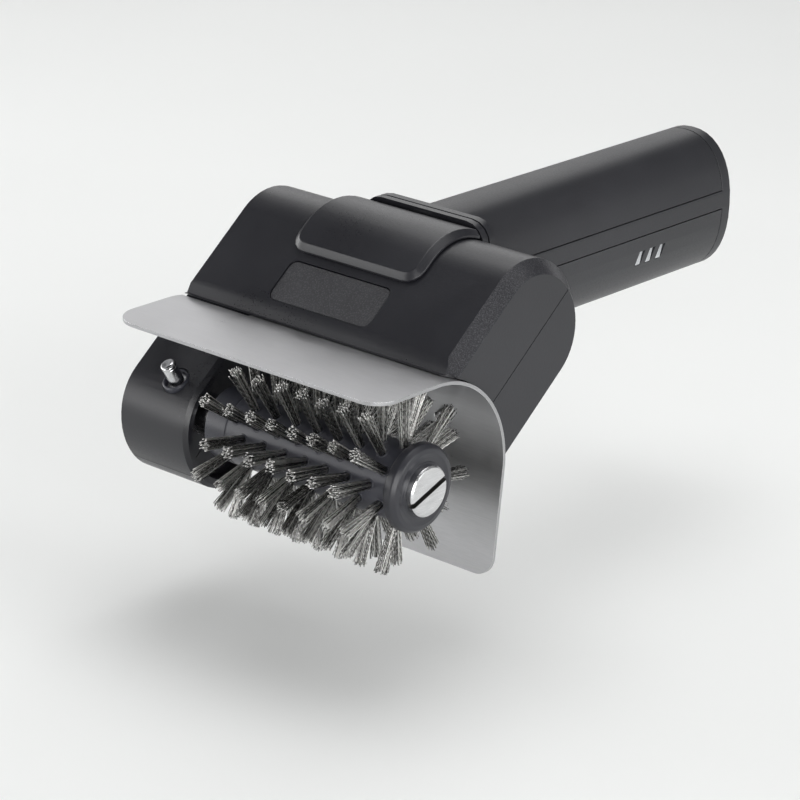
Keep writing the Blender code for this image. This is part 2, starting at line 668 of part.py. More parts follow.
place(plate, "stainless")


# ---------------------------------------------------------------- gears
def gear_pts(teeth, centre, phase):
    """Tooth outline with short, slightly thin straight-sided teeth; the first sits at phase."""
    r = MODULE * teeth / 2
    ra, rr = r + (0.72 if teeth < 30 else 0.5) * MODULE, r - 1.15 * MODULE
    half = math.pi * MODULE / 4 - 0.13
    pts = []
    for k in range(teeth):
        c = math.radians(phase + 360 * k / teeth)
        pts += [(rr, c - half * 1.5 / rr), (ra, c - half * 0.52 / ra), (ra, c + half * 0.52 / ra), (rr, c + half * 1.5 / rr)]
    return [(centre[0] + rad * math.cos(a), centre[1] + rad * math.sin(a)) for rad, a in pts]


def gear(name, teeth, centre, phase, x0, x1):
    return prism_x(name, gear_pts(teeth, centre, phase), x0, x1)


GX0, GX1 = -48.6, -43.7
bg = gear("brush_gear", Z_BRUSH, (BRUSH_Y, BRUSH_Z), PSI, GX0, GX1)
place(cut(bg, lathe("c", (0, BRUSH_Y, BRUSH_Z), X_AXIS, [(-50, 4.3), (-40, 4.3)], 20)), "brass_gear", "axis_roller")
i2 = gear("idler_gear_2", Z_IDLER, IDLER2, PSI + 180 + 180 / Z_IDLER, GX0, GX1)
place(cut(i2, lathe("c", (0, *IDLER2), X_AXIS, [(-50, 1.8), (-40, 1.8)], 16)), "nylon_gear", "axis_idler_2")
i1 = gear("idler_gear_1", Z_IDLER, IDLER1, PSI + 180, GX0, GX1)
place(cut(i1, lathe("c", (0, *IDLER1), X_AXIS, [(-50, 1.8), (-40, 1.8)], 16)), "nylon_gear", "axis_idler_1")
cg = gear("compound_gear", Z_BIG, COMPOUND, PSI, -54.2, -50.5)
join(cg, lathe("j", (0, *COMPOUND), X_AXIS, [(-51.0, 4.4), (-48.0, 4.4)], 20),
     gear("j2", Z_SMALL, COMPOUND, PSI + 180 + 180 / Z_SMALL, GX0 - 0.2, GX1))
place(cut(cg, lathe("c", (0, *COMPOUND), X_AXIS, [(-56, 1.8), (-40, 1.8)], 16)), "nylon_gear", "axis_compound")
pg = gear("motor_pinion", Z_MOTOR, MOTOR, PSI + 180 + 180 / Z_MOTOR, -54.2, -50.5)
place(cut(pg, lathe("c", (0, *MOTOR), X_AXIS, [(-56, 1.8), (-46, 1.8)], 16)), "brass_gear", "axis_motor")
for name, c, x0, x1 in (("compound_axle", COMPOUND, -54.3, -35.0), ("idler_axle_1", IDLER1, -50.1, -36.8),
                        ("idler_axle_2", IDLER2, -54.3, -36.8)):
    place(lathe(name, (0, *c), X_AXIS, [(x0, 1.3), (x0 + 0.3, 1.5), (x1 - 0.3, 1.5), (x1, 1.3)], 16), "bright_steel")

# ---------------------------------------------------------------- spindle, bearings, lock disc
BO = (0, BRUSH_Y, BRUSH_Z)
place(lathe("spindle", BO, X_AXIS,
            [(-54.0, 4.0), (-32.2, 4.0), (-32.2, 7.0), (-21.4, 7.0), (-21.4, 4.0), (58.5, 4.0), (58.5, 2.6), (42, 2.6)], 24),
      "bright_steel", "axis_roller")
place(tube("spindle_bearing_inner", BO, X_AXIS, -54.2, -49.4, 4.3, 7.5, 24), "bright_steel")
place(tube("spindle_bearing_outer", BO, X_AXIS, -36.3, -33.3, 4.3, 5.4, 24), "bright_steel")
disc = tube("lock_disc", BO, X_AXIS, -40.2, -36.9, 4.3, 7.5, 32)
side = Vector((1, 0, 0))
turn = Matrix((side, PIN_DIR.cross(side).normalized(), PIN_DIR)).transposed().to_4x4()
for k in range(4):
    notch = box("c", (-3.3, -1.9, 5.0), (3.3, 1.9, 12))
    notch.data.transform(Matrix.Translation(Vector((PIN_X, *BO[1:]))) @ Matrix.Rotation(math.radians(90 * k), 4, "X") @ turn)
    cut(disc, notch)
place(disc, "bright_steel", "axis_roller")

# ---------------------------------------------------------------- roller
core = lathe("brush_core", BO, X_AXIS,
             [(CORE_XL, 4.3), (CORE_XL, CORE_R - 1.0), (CORE_XL + 1.0, CORE_R), (CORE_XR, CORE_R), (CORE_XR, 8.6),
              (-11.0, 8.6), (-11.0, 6.0), (CORE_XR, 6.0), (CORE_XR, 4.3)], 42, closed=True)
for k in range(TUFT_ROWS):
    a = math.radians(TUFT_PHASE + 360 * k / TUFT_ROWS)
    u = Vector((0, math.cos(a), math.sin(a)))
    v = Vector((0, -math.sin(a), math.cos(a)))
    o = Vector(BO)
    quad = [o + u * r + v * s for r, s in ((8.0, -1.5), (14, -1.5), (14, 1.5), (8.0, 1.5))]
    cut(core, loft("c", [[(x, c.y, c.z) for c in quad] for x in (-11.0, CORE_XR + 2)]))
place(core, "core_plastic", "axis_roller")

# the wires' anchor sleeve: a grid of cells, each tuft grown from its own cell
RING_R, HALF_ROOT, HALF_TIP = 8.3, 1.2, 2.1
n_ang = TUFT_ROWS * 2
half_a = HALF_ROOT / RING_R
edges_a = []
for k in range(TUFT_ROWS):
    a = math.radians(TUFT_PHASE + 360 * k / TUFT_ROWS)
    edges_a += [a - half_a, a + half_a]
edges_x = [-10.7]
spots = []
for k in range(TUFTS):
    x = TUFT_X0 + TUFT_PITCH * k
    spots.append((x, 0))
    if k < TUFTS - 1:
        spots.append((x + TUFT_PITCH / 2, 1))
for x, _ in spots:
    edges_x += [x - HALF_ROOT, x + HALF_ROOT]
edges_x.append(55.2)
bm = bmesh.new()
o = Vector(BO)


def ring_v(x, a, r):
    return bm.verts.new((x, o.y + r * math.cos(a), o.z + r * math.sin(a)))


grid = [[ring_v(x, a, RING_R) for a in edges_a] for x in edges_x]
inner = [[ring_v(x, a, 6.3) for a in edges_a] for x in (edges_x[0], edges_x[-1])]
for j in range(n_ang):
    jn = (j + 1) % n_ang
    for i in range(len(edges_x) - 1):
        c = [grid[i][j], grid[i][jn], grid[i + 1][jn], grid[i + 1][j]]
        if j % 2 == 0 and i % 2 == 1 and spots[i // 2][1] == (j // 2) % 2:
            x = spots[i // 2][0]
            a = math.radians(TUFT_PHASE + 360 * (j // 2) / TUFT_ROWS)
            u = Vector((0, math.cos(a), math.sin(a)))
            v = Vector((0, -math.sin(a), math.cos(a)))
            tip = [bm.verts.new(o + Vector((x + sx * HALF_TIP, 0, 0)) + u * TUFT_R + v * sv * HALF_TIP)
                   for sx, sv in ((-1, -1), (-1, 1), (1, 1), (1, -1))]
            for m in range(4):
                bm.faces.new((c[m], c[(m + 1) % 4], tip[(m + 1) % 4], tip[m]))
            bm.faces.new(tip)
        else:
            bm.faces.new(c)
    bm.faces.new((inner[0][j], inner[0][jn], inner[1][jn], inner[1][j]))
    bm.faces.new((grid[0][j], grid[0][jn], inner[0][jn], inner[0][j]))
    bm.faces.new((grid[-1][j], grid[-1][jn], inner[1][jn], inner[1][j]))
bmesh.ops.recalc_face_normals(bm, faces=bm.faces)
me = bpy.data.meshes.new("wire_tufts")
bm.to_mesh(me)
bm.free()
tufts = bpy.data.objects.new("wire_tufts", me)
bpy.context.collection.objects.link(tufts)
place(tufts, "wire_steel", "axis_roller")

place(lathe("brush_end_cap", BO, X_AXIS,
            [(55.8, 4.3), (55.8, 13.2), (56.6, 14.1), (59.2, 14.1), (60.3, 13.3), (60.6, 12.2), (60.6, 4.3)], 32, closed=True),
      "core_plastic", "axis_roller")
screw = lathe("end_screw", BO, X_AXIS, [(44, 2.3), (60.9, 2.3), (60.9, 8.14), (62.4, 8.14), (62.9, 7.7)], 32)
a = math.radians(20)
slot = [Vector((0, s * math.cos(a) - w * math.sin(a), s * math.sin(a) + w * math.cos(a))) + Vector(BO)
        for s, w in ((-10, -0.9), (10, -0.9), (10, 0.9), (-10, 0.9))]
cut(screw, loft("c", [[(x, c.y, c.z) for c in slot] for x in (61.6, 65)]))
place(screw, "bright_steel", "axis_roller")
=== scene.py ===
"""Looks of the cordless rotary wire brush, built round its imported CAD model."""
import json
import math
import random

import bmesh
import bpy
from mathutils import Matrix, Vector


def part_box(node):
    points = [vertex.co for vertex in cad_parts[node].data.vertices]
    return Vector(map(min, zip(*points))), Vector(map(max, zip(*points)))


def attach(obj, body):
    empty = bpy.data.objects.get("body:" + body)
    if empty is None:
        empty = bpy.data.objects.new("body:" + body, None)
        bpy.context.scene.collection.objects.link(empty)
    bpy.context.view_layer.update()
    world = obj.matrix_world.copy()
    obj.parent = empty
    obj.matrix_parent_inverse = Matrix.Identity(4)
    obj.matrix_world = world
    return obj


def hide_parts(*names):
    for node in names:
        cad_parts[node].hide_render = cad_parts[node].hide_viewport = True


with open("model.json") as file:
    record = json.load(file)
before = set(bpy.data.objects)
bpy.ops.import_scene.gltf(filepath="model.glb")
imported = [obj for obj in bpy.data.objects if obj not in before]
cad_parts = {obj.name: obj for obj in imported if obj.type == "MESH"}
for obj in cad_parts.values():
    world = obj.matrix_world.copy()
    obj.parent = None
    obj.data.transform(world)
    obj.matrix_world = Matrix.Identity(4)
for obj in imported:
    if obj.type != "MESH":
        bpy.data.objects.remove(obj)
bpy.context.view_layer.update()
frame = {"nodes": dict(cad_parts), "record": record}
NODES = frame["nodes"]
MM = 0.001

# ---------------------------------------------------------------- shared dimensions
# Layout millimetres (origin at the front edge of the head's slope) to the row frame, found
# from the CAD boxes, so nothing has to be fitted.
lo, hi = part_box("upper_cover")
core_lo, core_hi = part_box("brush_core")
BRUSH_Y, BRUSH_Z = -16.4, -32.6
SHIFT = Vector((core_lo[0] / MM + 21.0, (core_lo[1] + core_hi[1]) / 2 / MM - BRUSH_Y, (core_lo[2] + core_hi[2]) / 2 / MM - BRUSH_Z))


def W(x, y, z):
    """Layout millimetres to the row frame in metres."""
    return Vector(((x + SHIFT.x) * MM, (y + SHIFT.y) * MM, (z + SHIFT.z) * MM))


SLOPE = math.radians(38.86)
CA, SA = math.cos(SLOPE), math.sin(SLOPE)


# ---------------------------------------------------------------- node helpers
class Graph:
    """A small wrapper that makes node materials short to write."""

    def __init__(self, name):
        self.mat = bpy.data.materials.new(name)
        self.mat.use_nodes = True
        self.tree = self.mat.node_tree
        self.shader = self.tree.nodes["Principled BSDF"]
        self.coord = self.add("ShaderNodeTexCoord").outputs["Object"]
        self.normal = None

    def add(self, kind, **props):
        n = self.tree.nodes.new(kind)
        for k, v in props.items():
            setattr(n, k, v)
        return n

    def link(self, a, b):
        self.tree.links.new(a, b)

    def put(self, socket, value):
        self.shader.inputs[socket].default_value = value

    def mapped(self, scale=(1, 1, 1), turn=(0, 0, 0), move=(0, 0, 0)):
        m = self.add("ShaderNodeMapping")
        m.inputs["Scale"].default_value = scale
        m.inputs["Rotation"].default_value = turn
        m.inputs["Location"].default_value = move
        self.link(self.coord, m.inputs["Vector"])
        return m.outputs["Vector"]

    def noise(self, scale, detail=2.0, rough=0.5, vector=None, kind="Fac"):
        n = self.add("ShaderNodeTexNoise")
        n.inputs["Scale"].default_value = scale
        n.inputs["Detail"].default_value = detail
        n.inputs["Roughness"].default_value = rough
        self.link(vector or self.coord, n.inputs["Vector"])
        return n.outputs[kind]

    def voronoi(self, scale, feature="F1", vector=None, out="Distance"):
        n = self.add("ShaderNodeTexVoronoi", feature=feature)
        n.inputs["Scale"].default_value = scale
        self.link(vector or self.coord, n.inputs["Vector"])
        return n.outputs[out]

    def wave(self, scale, vector=None, distortion=0.0, direction="X", kind="BANDS"):
        n = self.add("ShaderNodeTexWave", wave_type=kind, bands_direction=direction)
        n.inputs["Scale"].default_value = scale
        n.inputs["Distortion"].default_value = distortion
        self.link(vector or self.coord, n.inputs["Vector"])
        return n.outputs["Fac"]

    def ramp(self, value, *stops):
        n = self.add("ShaderNodeValToRGB")
        el = n.color_ramp.elements
        while len(el) < len(stops):
            el.new(0.5)
        for e, (pos, col) in zip(el, stops):
            e.position = pos
            e.color = (*col, 1.0) if isinstance(col, tuple) else (col, col, col, 1.0)
        self.link(value, n.inputs["Fac"])
        return n.outputs["Color"]

    def span(self, value, a, b, c, d):
        n = self.add("ShaderNodeMapRange")
        for k, v in (("From Min", a), ("From Max", b), ("To Min", c), ("To Max", d)):
            n.inputs[k].default_value = v
        self.link(value, n.inputs["Value"])
        return n.outputs["Result"]

    def math(self, op, a, b=None):
        n = self.add("ShaderNodeMath", operation=op)
        for s, v in zip(n.inputs, (a, b)):
            if v is None:
                continue
            if isinstance(v, (int, float)):
                s.default_value = v
            else:
                self.link(v, s)
        return n.outputs[0]

    def mix(self, fac, a, b, blend="MIX"):
        n = self.add("ShaderNodeMix", data_type="RGBA", blend_type=blend)
        for key, v in (("Factor", fac), ("A", a), ("B", b)):
            s = next(i for i in n.inputs if i.name == key and i.enabled) if key != "Factor" else n.inputs[0]
            if isinstance(v, (int, float)):
                s.default_value = v
            elif isinstance(v, tuple):
                s.default_value = (*v, 1.0)
            else:
                self.link(v, s)
        return next(o for o in n.outputs if o.enabled)

    def bump(self, height, strength, distance):
        n = self.add("ShaderNodeBump")
        n.inputs["Strength"].default_value = strength
        n.inputs["Distance"].default_value = distance
        self.link(height, n.inputs["Height"])
        if self.normal is not None:
            self.link(self.normal, n.inputs["Normal"])
        self.normal = n.outputs["Normal"]
        self.link(self.normal, self.shader.inputs["Normal"])

    def colour(self, out):
        self.link(out, self.shader.inputs["Base Color"])

    def roughness(self, out):
        self.link(out, self.shader.inputs["Roughness"])


# ---------------------------------------------------------------- materials
def moulded(name, dark, light, rough, grain=1500.0, depth=0.00006, strength=0.25, flow=0.03, band=False):
    """Spark-textured moulded plastic: an even grain, slow tone changes and faint rub marks.

    With band, faces turned half way to +X (the bevel down the side) carry a coarser grain, and lighter specks in their
    colour that are a painted highlight."""
    g = Graph(name)
    slow = g.noise(22.0, 3.0, 0.55)
    fine = g.noise(grain, 2.0, 0.6)
    rub = g.noise(160.0, 4.0, 0.7, g.mapped((1.0, 0.25, 1.0)))
    base = g.ramp(slow, (0.3, dark), (0.75, light))
    lift = g.ramp(rub, (0.62, 0.0), (0.80, 0.10))
    col = g.mix(lift, base, tuple(min(1.0, c * 2.1 + 0.012) for c in light))
    if band:
        sep = g.add("ShaderNodeSeparateXYZ")
        g.link(g.add("ShaderNodeNewGeometry").outputs["Normal"], sep.inputs[0])
        zone = g.ramp(sep.outputs["X"], (0.52, 0.0), (0.62, 1.0), (0.78, 1.0), (0.88, 0.0))
        grit = g.voronoi(1700.0)
        # painted highlight: lighter specks in the bevel's colour, standing in for the glints the light from the right
        # makes there; the bump below is the real coarser grain
        painted_glint = g.math("MULTIPLY", zone, g.span(g.noise(2900.0, 2.0, 0.6), 0.48, 0.72, 0.0, 0.8))
        col = g.mix(painted_glint, col, (0.085, 0.085, 0.092))
        g.bump(g.math("MULTIPLY", grit, zone), 0.45, 0.00012)
    g.colour(col)
    a = g.span(slow, 0.3, 0.7, rough - flow, rough + flow)
    g.roughness(g.math("ADD", a, g.span(fine, 0.3, 0.7, -0.05, 0.05)))
    cells = g.voronoi(grain * 0.62)
    g.bump(g.math("ADD", fine, g.math("MULTIPLY", cells, 0.5)), strength, depth)
    g.bump(slow, 0.12, 0.0006)
    g.put("Specular IOR Level", 0.5)
    return g.mat


HOUSING = moulded("housing_plastic_look", (0.0120, 0.0121, 0.0152), (0.0172, 0.0175, 0.0216), 0.33)
# the head's plastic, with painted highlight specks on the side bevel
HEAD = moulded("head_plastic_look", (0.0120, 0.0121, 0.0152), (0.0172, 0.0175, 0.0216), 0.33, band=True)
HANDLE = moulded("handle_plastic_look", (0.0145, 0.0148, 0.0180), (0.0210, 0.0214, 0.0255), 0.40, 1700.0)
SMOOTH = moulded("core_plastic_look", (0.028, 0.029, 0.038), (0.040, 0.041, 0.053), 0.34, 2600.0, 0.00002, 0.2)


CAP = moulded("end_cap_look", (0.0165, 0.0168, 0.0215), (0.0235, 0.0240, 0.0300), 0.34, 2600.0, 0.00002, 0.2)


def label_material():
    """A blank panel with a fine eroded texture that is a little lighter than the shell."""
    g = Graph("label_panel_look")
    fine = g.noise(2600.0, 3.0, 0.75)
    dots = g.voronoi(1500.0)
    slow = g.noise(60.0, 3.0, 0.6)
    g.colour(g.mix(g.ramp(dots, (0.15, 0.75), (0.5, 0.0)), g.ramp(slow, (0.3, (0.014, 0.014, 0.017)), (0.7, (0.021, 0.021, 0.025))),
                   (0.048, 0.048, 0.053)))
    g.roughness(g.span(fine, 0.3, 0.7, 0.50, 0.68))
    g.bump(g.math("ADD", fine, dots), 0.7, 0.00012)
    return g.mat


LABEL = label_material()


def steel(name, dark, light, rough, grain_dir, grain=0.10, streak=900.0):
    """Rolled and brushed sheet: long streaks, faint handling marks and a soft tone change."""
    g = Graph(name)
    g.put("Metallic", 1.0)
    stretch = g.mapped(grain_dir)
    lines = g.noise(streak, 3.0, 0.65, stretch)
    slow = g.noise(26.0, 4.0, 0.6)
    marks = g.noise(70.0, 5.0, 0.75, g.mapped((0.6, 1.0, 1.0), (0.2, 0.1, 0.7)))
    g.colour(g.mix(g.ramp(marks, (0.58, 0.0), (0.82, 0.10)), g.mix(g.span(lines, 0.3, 0.7, 0.0, 1.0), dark, light), tuple(c * 0.80 for c in dark)))
    r = g.math("ADD", g.span(lines, 0.3, 0.7, rough - grain, rough + grain), g.span(slow, 0.3, 0.7, -0.05, 0.06))
    g.roughness(r)
    g.bump(lines, 0.12, 0.00002)
    g.bump(slow, 0.05, 0.0012)
    return g.mat


SHEET = steel("stainless_look", (0.405, 0.405, 0.415), (0.455, 0.455, 0.465), 0.34, (0.06, 1.0, 1.0), 0.035, 2600.0)
BRIGHT = steel("bright_steel_look", (0.60, 0.60, 0.61), (0.76, 0.76, 0.77), 0.20, (1.0, 0.12, 1.0), 0.05, 1400.0)
PLATED = steel("plated_look", (0.42, 0.42, 0.43), (0.56, 0.56, 0.57), 0.28, (1.0, 1.0, 0.2), 0.08, 1200.0)

# painted shade: dark, rough steel for the walls and floor of the screw's slot, where shade falls
SLOT_SHADE = steel("slot_painted_shade_look", (0.06, 0.058, 0.055), (0.13, 0.125, 0.12), 0.48, (1.0, 0.3, 1.0), 0.06, 900.0)


def wire_material(name, dark, light, rough, metal=1.0):
    """Drawn steel wire with heat tint and soot: each length differs from its neighbours, and every crimp crest carries
    a painted highlight.
    """
    g = Graph(name)
    g.put("Metallic", metal)
    tone = g.math("ADD", g.math("MULTIPLY", g.noise(900.0, 3.0, 0.7), 0.45),
                  g.math("MULTIPLY", g.add("ShaderNodeAttribute", attribute_name="strand").outputs["Fac"], 0.55))
    soot = g.noise(120.0, 3.0, 0.6)
    rings = g.noise(5200.0, 2.0, 0.5)
    # painted highlight: a lighter colour on the crest of every crimp wave, standing in for the glint each bend catches
    # from the light
    painted_crimp_glint = g.add("ShaderNodeAttribute", attribute_name="along").outputs["Fac"]
    painted_crimp_glint = g.math("SINE", g.math("MULTIPLY", painted_crimp_glint, 2 * math.pi))
    c = g.mix(g.span(tone, 0.25, 0.75, 0.0, 1.0), dark, light)
    c = g.mix(g.span(painted_crimp_glint, 0.3, 1.0, 0.0, 0.35), c, tuple(min(1.0, v * 1.8) for v in light))
    g.colour(g.mix(g.ramp(soot, (0.52, 0.0), (0.74, 0.45)), c, tuple(v * 0.35 for v in dark)))
    g.roughness(g.span(tone, 0.3, 0.7, rough - 0.07, rough + 0.1))
    g.bump(rings, 0.2, 0.00002)
    return g.mat


WIRE = wire_material("wire_look", (0.08, 0.078, 0.074), (0.90, 0.89, 0.86), 0.25)
# the cut wire ends: a near-white, mostly non-metallic colour that shows as bright dots under any light, a painted
# highlight
WIRE_END_PAINTED_GLINT = wire_material("wire_end_painted_glint_look", (0.70, 0.69, 0.67), (0.97, 0.965, 0.95), 0.32, 0.35)


def lens_material():
    """Moulded light guide with a diffusing core behind a clear skin."""
    g = Graph("gauge_lens_look")
    prisms = g.wave(900.0, g.mapped((1, 1, 1), (0.4, 0.0, 0.0)), 0.6, "Z")
    milk = g.noise(420.0, 3.0, 0.6)
    g.colour(g.mix(g.span(prisms, 0.2, 0.8, 0.0, 1.0), g.ramp(milk, (0.3, (0.20, 0.21, 0.22)), (0.7, (0.34, 0.35, 0.36))), (0.62, 0.64, 0.66)))
    g.roughness(g.span(milk, 0.3, 0.7, 0.12, 0.28))
    g.bump(prisms, 0.5, 0.00012)
    g.put("Coat Weight", 0.6)
    g.put("Coat Roughness", 0.06)
    return g.mat


LENS = lens_material()


def board_material():
    """Solder-masked glass-epoxy board with faint copper tracks under the mask."""
    g = Graph("board_look")
    tracks = g.voronoi(420.0, "DISTANCE_TO_EDGE")
    weave = g.wave(1600.0, None, 0.3, "Y")
    g.colour(g.mix(g.ramp(tracks, (0.03, 1.0), (0.08, 0.0)), g.mix(weave, (0.006, 0.075, 0.030), (0.010, 0.10, 0.042)), (0.03, 0.19, 0.07)))
    g.roughness(g.span(weave, 0.0, 1.0, 0.25, 0.36))
    g.bump(tracks, 0.3, 0.00005)
    return g.mat


def wrap_material():
    """Shrink sleeve on a cell: glossy, faintly wrinkled."""
    g = Graph("cell_wrap_look")
    wrinkle = g.noise(300.0, 3.0, 0.6, g.mapped((1.0, 0.2, 1.0)))
    g.colour(g.mix(wrinkle, (0.016, 0.070, 0.21), (0.030, 0.12, 0.33)))
    g.roughness(g.span(wrinkle, 0.3, 0.7, 0.22, 0.38))
    g.bump(wrinkle, 0.3, 0.0001)
    return g.mat


def cut_metal(name, dark, light, rough):
    g = Graph(name)
    g.put("Metallic", 1.0)
    turned = g.wave(1500.0, None, 1.2, "X")
    slow = g.noise(200.0, 3.0, 0.6)
    g.colour(g.mix(slow, dark, light))
    g.roughness(g.math("ADD", g.span(turned, 0.0, 1.0, rough - 0.05, rough + 0.06), g.span(slow, 0.3, 0.7, -0.03, 0.03)))
    g.bump(turned, 0.2, 0.00003)
    return g.mat


def nylon_material():
    g = Graph("nylon_gear_look")
    flow = g.noise(90.0, 3.0, 0.6)
    fine = g.noise(1800.0, 2.0, 0.5)
    g.colour(g.mix(flow, (0.60, 0.58, 0.52), (0.74, 0.72, 0.66)))
    g.roughness(g.span(fine, 0.3, 0.7, 0.34, 0.46))
    g.bump(fine, 0.2, 0.00004)
    g.put("Subsurface Weight", 0.1)
    g.put("Subsurface Radius", (0.0012, 0.0011, 0.0009))
    return g.mat


BOARD, WRAP, NYLON = board_material(), wrap_material(), nylon_material()
BRASS = cut_metal("brass_look", (0.48, 0.33, 0.12), (0.66, 0.50, 0.22), 0.30)
ROTOR = cut_metal("copper_rotor_look", (0.42, 0.18, 0.08), (0.62, 0.30, 0.15), 0.38)

LOOK = {"housing_plastic": HOUSING, "core_plastic": SMOOTH, "label_plastic": LABEL, "gauge_lens": LENS, "stainless": SHEET,
        "bright_steel": BRIGHT, "wire_steel": WIRE, "board_green": BOARD, "cell_wrap": WRAP, "copper_rotor": ROTOR,
        "brass_gear": BRASS, "nylon_gear": NYLON}
SLOT_OF = {s["node"]: s["material_slot"] for s in frame["record"]["subparts"]}
HANDLE_NODES = {"handle_upper_shell", "handle_lower_shell", "handle_frame", "end_cap"}


# ---------------------------------------------------------------- CAD nodes: material and softened edges
def soften(ob, width, segments=2, angle=28.0, weld=0.00001):
    """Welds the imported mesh's corners, rounds its sharp edges and evens its shading."""
    w = ob.modifiers.new("weld", "WELD")
    w.merge_threshold = weld
    b = ob.modifiers.new("edge", "BEVEL")
    b.width = width
    b.segments = segments
    b.limit_method = "ANGLE"
    b.angle_limit = math.radians(angle)
    b.use_clamp_overlap = True
    b.miter_outer = "MITER_ARC"
    b.harden_normals = False
    n = ob.modifiers.new("even", "WEIGHTED_NORMAL")
    n.keep_sharp = False
    n.weight = 60


EDGE = {"upper_cover": 0.00055, "lower_housing": 0.0005, "saddle_cover": 0.0005, "collar": 0.0006, "gearbox_arm": 0.0006,
        "arm_cover": 0.0006, "handle_upper_shell": 0.00022, "handle_lower_shell": 0.00022, "handle_frame": 0.0003,
        "end_cap": 0.0004, "label_plate": 0.0002, "trigger": 0.0006}
for name, ob in NODES.items():
    look = HANDLE if name in HANDLE_NODES else HEAD if name in ("upper_cover", "lower_housing") else LOOK[SLOT_OF[name]]
    ob.data.materials.clear()
    ob.data.materials.append(look)
    if name in EDGE:
        soften(ob, EDGE[name])


# ---------------------------------------------------------------- mesh helpers
def new_piece(name, me, body, mats, smooth=True):
    ob = bpy.data.objects.new(name, me)
    bpy.context.scene.collection.objects.link(ob)
    for m in mats:
        me.materials.append(m)
    if smooth:
        me.shade_smooth()
    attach(ob, body)
    return ob


def from_arrays(name, verts, faces, face_mat=None):
    me = bpy.data.meshes.new(name)
    me.from_pydata([tuple(v) for v in verts], [], [tuple(f) for f in faces])
    if face_mat is not None:
        me.polygons.foreach_set("material_index", face_mat)
    me.update()
    return me


def lathe_mesh(name, origin, axis, profile, seg=96, closed=False):
    """Turns (along, radius) points about an axis: origin and profile in layout millimetres."""
    axis = Vector(axis).normalized()
    side = Vector((1, 0, 0)) if abs(axis.x) < 0.7 else Vector((0, 1, 0))
    u = axis.cross(side).normalized()
    v = axis.cross(u)
    bm = bmesh.new()
    rings = []
    for a, r in profile:
        if r < 1e-6:
            rings.append([bm.verts.new(W(*(Vector(origin) + axis * a)))])
            continue
        rings.append([bm.verts.new(W(*(Vector(origin) + axis * a + (u * math.cos(t) + v * math.sin(t)) * r)))
                      for t in (2 * math.pi * k / seg for k in range(seg))])
    pairs = list(zip(rings, rings[1:])) + ([(rings[-1], rings[0])] if closed else [])
    for p, q in pairs:
        for k in range(seg):
            n = (k + 1) % seg
            if len(p) == 1 and len(q) > 1:
                bm.faces.new((p[0], q[n], q[k]))
            elif len(q) == 1 and len(p) > 1:
                bm.faces.new((p[k], p[n], q[0]))
            elif len(p) > 1:
                bm.faces.new((p[k], p[n], q[n], q[k]))
    if not closed:
        for ring in (rings[0], rings[-1]):
            if len(ring) > 1:
                bm.faces.new(ring)
    bmesh.ops.recalc_face_normals(bm, faces=bm.faces)
    me = bpy.data.meshes.new(name)
    bm.to_mesh(me)
    bm.free()
    me.shade_smooth()
    me.set_sharp_from_angle(angle=math.radians(32))
    return me


def fillet(points, radius, n=4, closed=False):
    """Rounds the corners of an (a, r) profile; radius is one number or one per point."""
    out = []
    last = len(points) - 1
    for i, p in enumerate(points):
        rad = radius[i] if isinstance(radius, (list, tuple)) else radius
        if rad <= 0 or (not closed and i in (0, last)):
            out.append(p)
            continue
        a, b, c = Vector(points[i - 1]), Vector(p), Vector(points[(i + 1) % len(points)])
        d1, d2 = (a - b), (c - b)
        l1, l2 = d1.length, d2.length
        d1.normalize(); d2.normalize()
        half = math.acos(max(-1, min(1, d1.dot(d2)))) / 2
        if half > math.radians(88):
            out.append(p)
            continue
        t = min(rad / math.tan(half), l1 * 0.48, l2 * 0.48)
        s, e = b + d1 * t, b + d2 * t
        for k in range(n + 1):
            f = k / n
            q = s * (1 - f) ** 2 + b * 2 * f * (1 - f) + e * f ** 2
            out.append((q.x, q.y))
    return out


X_AXIS = (1, 0, 0)
BO = (0, BRUSH_Y, BRUSH_Z)

# ---------------------------------------------------------------- roller: core
TUFT_R, CORE_R = 29.0, 12.0
ROWS, TUFTS, X0, PITCH, PHASE = 14, 8, -8.2, 8.75, 145.5
core = lathe_mesh("roller_core", BO, X_AXIS,
                  fillet([(-20.9, 4.35), (-20.9, 11.2), (-20.3, 12.0), (-12.0, 12.0), (-11.6, 11.75), (-11.2, 12.0), (54.9, 12.0), (55.45, 11.6), (55.45, 4.35)],
                         [0, 0.3, 0.5, 0.1, 0.2, 0.1, 0.3, 0.2, 0]), 112, closed=True)
core_ob = new_piece("roller_core", core, "roller", [SMOOTH])
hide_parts("brush_core")

# ---------------------------------------------------------------- roller: wire tufts
rng = random.Random(41)
STRANDS = 37
SEGS = 20
SIDES = 3
LATTICE = sorted(((i + 0.5 * (j % 2)) * 1.0, j * 0.866) for i in range(-4, 5) for j in range(-4, 5))
LATTICE = sorted(LATTICE, key=lambda p: math.hypot(*p))[:STRANDS]
REACH = math.hypot(*LATTICE[-1])


